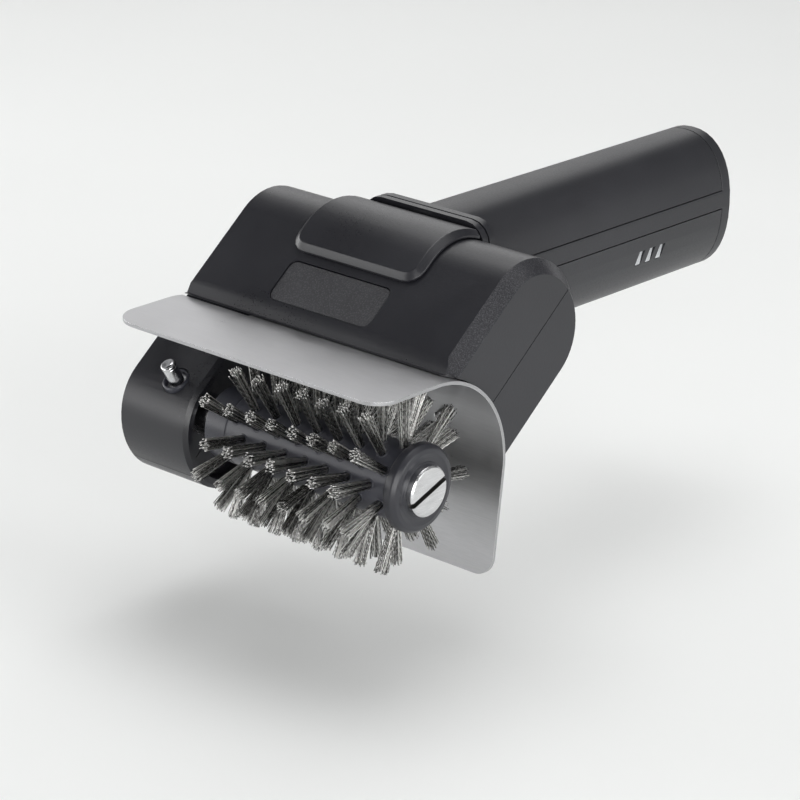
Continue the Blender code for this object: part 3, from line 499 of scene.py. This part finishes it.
def build_tufts():
    """Bundles of crimped wires: side by side in a hexagonal pack, opening a little towards the tip."""
    verts, faces, mats, along, strand = [], [], [], [], []
    sockets = []
    axis = Vector(BO)
    for row in range(ROWS):
        ang = math.radians(PHASE + 360 * row / ROWS)
        u = Vector((0, math.cos(ang), math.sin(ang)))
        v = Vector((0, -math.sin(ang), math.cos(ang)))
        odd = row % 2
        for k in range(TUFTS - odd):
            x = X0 + PITCH * (k + 0.5 * odd)
            sockets.append((x, ang))
            root = axis + u * 11.3 + Vector((x, 0, 0))
            out = (u + Vector((rng.uniform(-0.03, 0.03) - (0.09 if k == 0 else 0.0), 0, 0)) + v * rng.uniform(-0.035, 0.035)).normalized()
            e1 = Vector((1, 0, 0)) - out * out.x
            e1.normalize()
            e2 = out.cross(e1)
            turn = rng.uniform(-0.25, 0.25)
            a1, a2 = e1 * math.cos(turn) + e2 * math.sin(turn), e2 * math.cos(turn) - e1 * math.sin(turn)
            crimp = (a1 + a2 * 0.35).normalized()
            phase = rng.uniform(0, 6.28)
            wide = rng.uniform(0.95, 1.07)
            pitch = rng.uniform(2.25, 2.6)
            for lx, ly in LATTICE:
                rho = math.hypot(lx, ly) / REACH
                length = 17.7 - rng.uniform(0.0, 1.1) - 0.4 * rho * rho - (0.6 if rng.random() < 0.1 else 0.0)
                jx, jy = rng.gauss(0, 0.13), rng.gauss(0, 0.13)
                ox = (lx + rng.uniform(-0.16, 0.16)) / REACH
                oy = (ly + rng.uniform(-0.16, 0.16)) / REACH
                stray = rng.gauss(0, 0.07) + (rng.uniform(0.1, 0.35) if rng.random() < 0.05 else 0.0)
                ph = phase + math.pi * (round(ly / 0.866) % 2) + rng.uniform(-0.35, 0.35)
                shade = rng.random() ** 1.3
                amp = 0.12
                rad = 0.175
                base = len(verts)
                for i in range(SEGS + 1):
                    t = i / SEGS
                    spread = (1.25 + (2.0 * wide - 1.25) * t) * (1 + stray * t * t)
                    w = 2 * math.pi * t * length / pitch + ph
                    p = root + out * (length * t) + a1 * (spread * ox + jx * t * t) + a2 * (spread * oy + jy * t * t) + crimp * (amp * math.sin(w) * min(1, 5 * t))
                    for q in range(SIDES):
                        b = math.pi / 2 + q * 2 * math.pi / SIDES
                        verts.append(W(*(p + e1 * (rad * math.cos(b)) + e2 * (rad * math.sin(b)))))
                        along.append(w / (2 * math.pi))
                        strand.append(shade)
                for i in range(SEGS):
                    for q in range(SIDES):
                        a, b2 = base + i * SIDES + q, base + i * SIDES + (q + 1) % SIDES
                        faces.append((a, b2, b2 + SIDES, a + SIDES))
                        mats.append(0)
                # the cap at each tip takes the second, near-white material: painted highlight dots on the wire ends
                end = base + SEGS * SIDES
                faces.append(tuple(end + q for q in range(SIDES)))
                mats.append(1)
                faces.append(tuple(base + q for q in reversed(range(SIDES))))
                mats.append(0)
    me = from_arrays("wire_bundles", verts, faces, mats)
    # along is the crimp phase, which the wire looks turn into a painted highlight on every crest
    att = me.attributes.new("along", "FLOAT", "POINT")
    att.data.foreach_set("value", along)
    att = me.attributes.new("strand", "FLOAT", "POINT")
    att.data.foreach_set("value", strand)
    return me, sockets


tuft_mesh, sockets = build_tufts()
tufts_ob = new_piece("wire_bundles", tuft_mesh, "roller", [WIRE, WIRE_END_PAINTED_GLINT])
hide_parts("wire_tufts")

# drilled sockets: a low rounded lip round the root of every bundle
bm = bmesh.new()
for x, ang in sockets:
    u = Vector((0, math.cos(ang), math.sin(ang)))
    v = Vector((0, -math.sin(ang), math.cos(ang)))
    n_a, prof = 20, [(11.7, 1.45), (12.0, 1.42), (12.16, 1.52), (12.18, 1.72), (12.05, 1.9), (11.7, 2.0)]
    rings = []
    for h, r in prof:
        ring = []
        for k in range(n_a):
            t = 2 * math.pi * k / n_a
            s = r * math.sin(t)
            drop = CORE_R - math.sqrt(CORE_R ** 2 - s * s)
            ring.append(bm.verts.new(W(*(Vector(BO) + Vector((x + r * math.cos(t), 0, 0)) + v * s + u * (h - drop)))))
        rings.append(ring)
    for p, q in zip(rings, rings[1:] + rings[:1]):
        for k in range(n_a):
            bm.faces.new((p[k], p[(k + 1) % n_a], q[(k + 1) % n_a], q[k]))
bmesh.ops.recalc_face_normals(bm, faces=bm.faces)
me = bpy.data.meshes.new("tuft_sockets")
bm.to_mesh(me)
bm.free()
new_piece("tuft_sockets", me, "roller", [SMOOTH])

# ---------------------------------------------------------------- roller: end cap and coin-slot screw
cap = lathe_mesh("roller_end_cap", BO, X_AXIS,
                 fillet([(55.8, 4.35), (55.8, 13.2), (56.5, 14.1), (59.0, 14.1), (60.35, 12.9), (60.6, 11.4), (60.35, 10.2), (60.35, 8.9), (60.6, 8.7), (60.6, 4.35)],
                        [0, 0.4, 0.7, 1.2, 0.9, 0.4, 0.2, 0.1, 0.1, 0]), 112, closed=True)
cap_ob = new_piece("roller_end_cap", cap, "roller", [CAP])
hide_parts("brush_end_cap")


def slotted_screw():
    """Screw head with a straight coin slot: a dome-edged disc built in two halves round the slot."""
    a0 = math.radians(20)
    d = Vector((0, math.cos(a0), math.sin(a0)))
    w = Vector((0, -math.sin(a0), math.cos(a0)))
    prof = fillet([(60.7, 8.14), (62.35, 8.14), (62.9, 7.55), (62.9, 0)], [0, 0.35, 0.25, 0], 4)
    bm = bmesh.new()
    half, depth = 0.88, 61.1
    for side in (1, -1):
        rows = []
        for x, r in prof:
            ring = []
            if r < half:
                r = half + 0.001
            t0 = math.asin(half / r)
            for k in range(49):
                t = t0 + (math.pi - 2 * t0) * k / 48
                ring.append(bm.verts.new(W(*(Vector((x, *BO[1:])) + (d * math.cos(t) + w * (math.sin(t) * side)) * r))))
            rows.append(ring)
        for p, q in zip(rows, rows[1:]):
            for k in range(48):
                bm.faces.new((p[k], p[k + 1], q[k + 1], q[k]))
        # slot wall, coloured with the dark second material: painted shade inside the slot
        wall = [r[0] for r in rows] + [r[-1] for r in reversed(rows)]
        low = [bm.verts.new(W(*(Vector((depth, *BO[1:])) + d * (s * 8.1) + w * (half * side)))) for s in (1, -1)]
        top = [v for v in wall if (v.co.x / MM - SHIFT.x) > depth]
        bm.faces.new([low[0]] + top + [low[1]]).material_index = 1
        bm.faces.new(rows[0])
    floor = [bm.verts.new(W(*(Vector((depth, *BO[1:])) + d * (s * 8.09) + w * (half * 1.02 * t)))) for s, t in ((1, 1), (-1, 1), (-1, -1), (1, -1))]
    # the slot floor also takes the dark second material: painted shade
    bm.faces.new(floor).material_index = 1
    under = [bm.verts.new(v.co - Vector((0.0008, 0, 0))) for v in floor]
    for k in range(4):
        bm.faces.new((floor[k], floor[(k + 1) % 4], under[(k + 1) % 4], under[k]))
    bm.faces.new(list(reversed(under)))
    bmesh.ops.recalc_face_normals(bm, faces=bm.faces)
    me = bpy.data.meshes.new("roller_screw")
    bm.to_mesh(me)
    bm.free()
    me.shade_smooth()
    me.set_sharp_from_angle(angle=math.radians(35))
    return me


# the second material paints shade on the slot's walls and floor
screw_ob = new_piece("roller_screw", slotted_screw(), "roller", [BRIGHT, SLOT_SHADE], smooth=False)
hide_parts("end_screw")

# ---------------------------------------------------------------- lock pin and its ring
LEAN = math.radians(31)
PD = Vector((0.0, -math.sin(LEAN), math.cos(LEAN)))
P0 = Vector((-38.1, BRUSH_Y, BRUSH_Z)) + PD * 13.0
pin = lathe_mesh("lock_pin_turned", P0, PD,
                 fillet([(-5.3, 0), (-5.3, 1.3), (-5.0, 1.6), (-0.9, 1.6), (-0.9, 3.4), (-0.4, 3.4), (-0.4, 2.5), (6.3, 2.5), (6.45, 2.4), (6.6, 2.5),
                         (7.25, 2.5), (7.6, 2.15), (7.6, 1.75), (7.3, 0.7), (7.25, 0)],
                        [0, 0.1, 0.1, 0, 0.1, 0.1, 0.05, 0.05, 0.05, 0.05, 0.25, 0.2, 0.15, 0.1, 0], 3), 56)
pin_ob = new_piece("lock_pin_turned", pin, "lock_pin", [BRIGHT], smooth=False)
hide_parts("lock_pin")


# ---------------------------------------------------------------- stainless guard
GY, GZ, GR, GT = -9.0, -35.0, 32.6, 1.1
XL, XR, CXL, LIP_Y, FLANGE_Z, FDEG = -56.0, 58.5, -26.7, -35.6, -74.0, -6.0


def guard_path(s):
    """Point and outward normal on the sheet's outer face at path length s (mm)."""
    R = GR + GT
    lip = GY - LIP_Y
    arc = R * math.radians(90 - FDEG)
    if s <= lip:
        return Vector((0, LIP_Y + s, GZ + R)), Vector((0, 0, 1))
    if s <= lip + arc:
        a = math.radians(90) - (s - lip) / R
        n = Vector((0, math.cos(a), math.sin(a)))
        return Vector((0, GY, GZ)) + n * R, n
    a = math.radians(FDEG)
    n = Vector((0, math.cos(a), math.sin(a)))
    t = Vector((0, math.sin(a), -math.cos(a)))
    return Vector((0, GY, GZ)) + n * R + t * (s - lip - arc), n


def guard_mesh():
    R = GR + GT
    lip, arc = GY - LIP_Y, R * math.radians(90 - FDEG)
    a = math.radians(FDEG)
    end = (GZ + R * math.sin(a) - FLANGE_Z) / math.cos(a)
    total = lip + arc + end
    step = lip - 6.4 + 0.0          # where the lip's left wing ends, y = -2.6 on the curl
    step = lip + R * math.asin(min(1, (-2.6 - GY) / R))
    rows = set()
    for r0 in (0.0,):
        rows |= {r0 + 11 * (1 - math.cos(math.radians(6 * k))) for k in range(16)}
    rows |= {total - 7 * (1 - math.cos(math.radians(7.5 * k))) for k in range(13)}
    rows |= {11 + (step - 11) * k / 10 for k in range(11)}
    rows |= {step + (total - 7 - step) * k / 44 for k in range(45)}
    rows = sorted(rows)
    clean = [rows[0]]
    for r in rows[1:]:
        if r - clean[-1] > 0.004:
            clean.append(r)
    rows = clean

    def cut_in(dist, rad):
        """How far a rounded corner pulls the edge in at this distance from the end."""
        return 0.0 if dist >= rad else rad - math.sqrt(max(0.0, rad * rad - (rad - dist) ** 2))

    bm = bmesh.new()
    grid, wing = [], []
    NX, NW = 46, 14
    for s in rows:
        p, _ = guard_path(s)
        xr = XR - cut_in(s, 8) - cut_in(total - s, 7)
        xl = CXL + cut_in(total - s, 7)
        us = [(1 - math.cos(math.pi * k / NX)) / 2 * 0.35 + 0.65 * k / NX for k in range(NX + 1)]
        grid.append([bm.verts.new(W(xl + (xr - xl) * q, p.y, p.z)) for q in us])
        if s <= step + 0.002:
            wl = XL + cut_in(s, 11)
            wing.append([bm.verts.new(W(wl + (CXL - wl) * k / NW, p.y, p.z)) for k in range(NW)] + [grid[-1][0]])
    for table in (grid, wing):
        for p, q in zip(table, table[1:]):
            for k in range(len(p) - 1):
                bm.faces.new((p[k], p[k + 1], q[k + 1], q[k]))
    bm.normal_update()
    up = sum((f.normal for f in bm.faces if f.calc_center_median().y < W(0, -20, 0).y), Vector())
    if up.z < 0:
        bmesh.ops.reverse_faces(bm, faces=bm.faces)
    # a second skin one sheet thickness below, and a rounded rim between the two
    bm.normal_update()
    outer = list(bm.verts)
    below = {}
    for v in outer:
        y, z = v.co.y / MM - SHIFT.y, v.co.z / MM - SHIFT.z
        if y <= GY + 1e-6 and z > GZ:
            n = Vector((0, 0, 1))
        else:
            ang = math.atan2(z - GZ, y - GY)
            n = Vector((0, math.cos(ang), math.sin(ang))) if ang > math.radians(FDEG) else Vector((0, math.cos(math.radians(FDEG)), math.sin(math.radians(FDEG))))
        below[v] = bm.verts.new(v.co - n * GT * MM)
    faces = list(bm.faces)
    for f in faces:
        bm.faces.new([below[v] for v in reversed(f.verts)])
    for e in [e for e in bm.edges if len(e.link_faces) == 1 and e.verts[0] in below and e.verts[1] in below]:
        f = e.link_faces[0]
        va, vb = e.verts
        loop = next(l for l in f.loops if l.edge == e)
        va, vb = loop.vert, loop.link_loop_next.vert
        bm.faces.new((vb, va, below[va], below[vb]))
    bmesh.ops.recalc_face_normals(bm, faces=bm.faces)
    me = bpy.data.meshes.new("guard_sheet")
    bm.to_mesh(me)
    bm.free()
    return me


guard_ob = new_piece("guard_sheet", guard_mesh(), "housing", [SHEET, BRIGHT])
b = guard_ob.modifiers.new("edge", "BEVEL")
b.width = 0.00034
b.segments = 3
b.limit_method = "ANGLE"
b.angle_limit = math.radians(50)
# painted highlight: the rounded rim takes the lighter, glossier bright-steel look, a bright line along the sheet's edge
b.material = 1
n = guard_ob.modifiers.new("even", "WEIGHTED_NORMAL")
n.weight = 80
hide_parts("guard")

# ---------------------------------------------------------------- stage, lights, camera
FLOOR_Z = W(0, 0, -74.0).z - 0.026
bm = bmesh.new()
bmesh.ops.create_grid(bm, x_segments=2, y_segments=2, size=6.0)
me = bpy.data.meshes.new("floor")
bm.to_mesh(me)
bm.free()
floor = bpy.data.objects.new("floor", me)
floor.location = (0, 0, FLOOR_Z)
bpy.context.scene.collection.objects.link(floor)
g = Graph("floor_paper")
g.colour(g.ramp(g.noise(3.0, 2.0, 0.5), (0.3, (0.86, 0.87, 0.86)), (0.7, (0.89, 0.90, 0.89))))
g.roughness(g.span(g.noise(400.0), 0.3, 0.7, 0.75, 0.85))
g.put("Specular IOR Level", 0.1)
me.materials.append(g.mat)

world = bpy.data.worlds.new("studio")
bpy.context.scene.world = world
world.use_nodes = True
nt = world.node_tree
bg = nt.nodes["Background"]
tc = nt.nodes.new("ShaderNodeTexCoord")
sep = nt.nodes.new("ShaderNodeSeparateXYZ")
ramp = nt.nodes.new("ShaderNodeValToRGB")
nt.links.new(tc.outputs["Generated"], sep.inputs[0])
nt.links.new(sep.outputs["Z"], ramp.inputs[0])
el = ramp.color_ramp.elements
el[0].position, el[0].color = 0.0, (0.85, 0.85, 0.85, 1)
el[1].position, el[1].color = 1.0, (0.05, 0.05, 0.05, 1)
for pos, v in ((0.10, 0.80), (0.22, 0.06)):
    el.new(pos).color = (v, v, v * 1.01, 1)
nt.links.new(ramp.outputs["Color"], bg.inputs["Color"])
bg.inputs["Strength"].default_value = 1.0


def softbox(name, loc, target, size, power, tint=(1, 1, 1)):
    d = bpy.data.lights.new(name, "AREA")
    d.shape = "RECTANGLE"
    d.size, d.size_y = size
    d.energy = power
    d.color = tint
    ob = bpy.data.objects.new(name, d)
    bpy.context.scene.collection.objects.link(ob)
    ob.location = loc
    ob.rotation_euler = (Vector(target) - Vector(loc)).to_track_quat("-Z", "Y").to_euler()
    return ob


softbox("top_left", (-0.34, 0.44, 1.15), (0, 0, 0), (0.9, 0.9), 3.9)
softbox("top", (-0.14, 0.10, 1.35), (0, 0, 0), (1.0, 1.0), 5.4)
softbox("top_right", (0.50, 0.25, 1.15), (0, 0, 0), (0.9, 0.9), 2.65)
softbox("back", (-0.75, 0.95, 0.55), (0, 0, 0), (0.8, 0.5), 1.5)
softbox("back_high", (-0.50, 0.75, 0.95), (0, 0, 0), (0.8, 0.6), 1.1)
softbox("back_right", (0.65, 0.95, 0.60), (0, 0, 0), (0.8, 0.6), 0.3)
softbox("right", (1.15, 0.15, 0.35), (0, 0, 0), (0.8, 0.8), 5.65)
softbox("front_right", (1.05, -0.95, 0.30), (0, 0, 0), (0.9, 0.8), 11.0)
softbox("front_left", (-0.75, -1.15, 0.15), (0, 0, 0), (0.9, 0.8), 5.45)
softbox("left", (-1.22, -0.32, 0.26), (0, 0, 0), (0.8, 0.7), 6.4)

az, tilt, roll = math.radians(40.81), math.radians(20.50), math.radians(1.51)
right = Vector((math.cos(az), math.sin(az), 0))
fwd = Vector((-math.sin(az) * math.cos(tilt), math.cos(az) * math.cos(tilt), -math.sin(tilt)))
up = Vector((-math.sin(az) * math.sin(tilt), math.cos(az) * math.sin(tilt), math.cos(tilt)))
r2 = right * math.cos(roll) + up * math.sin(roll)
u2 = -right * math.sin(roll) + up * math.cos(roll)
place = -(r2 * -26.58 + u2 * 22.57 + fwd * 1001.25)
cam_data = bpy.data.cameras.new("camera")
cam_data.lens = 144.05
cam_data.sensor_width = 36.0
cam_data.clip_start, cam_data.clip_end = 0.05, 30.0
cam = bpy.data.objects.new("camera", cam_data)
bpy.context.scene.collection.objects.link(cam)
cam.matrix_world = Matrix.Translation(W(*place)) @ Matrix((r2, u2, -fwd)).transposed().to_4x4()
bpy.context.scene.camera = cam
bpy.context.scene.view_settings.view_transform = "Standard"
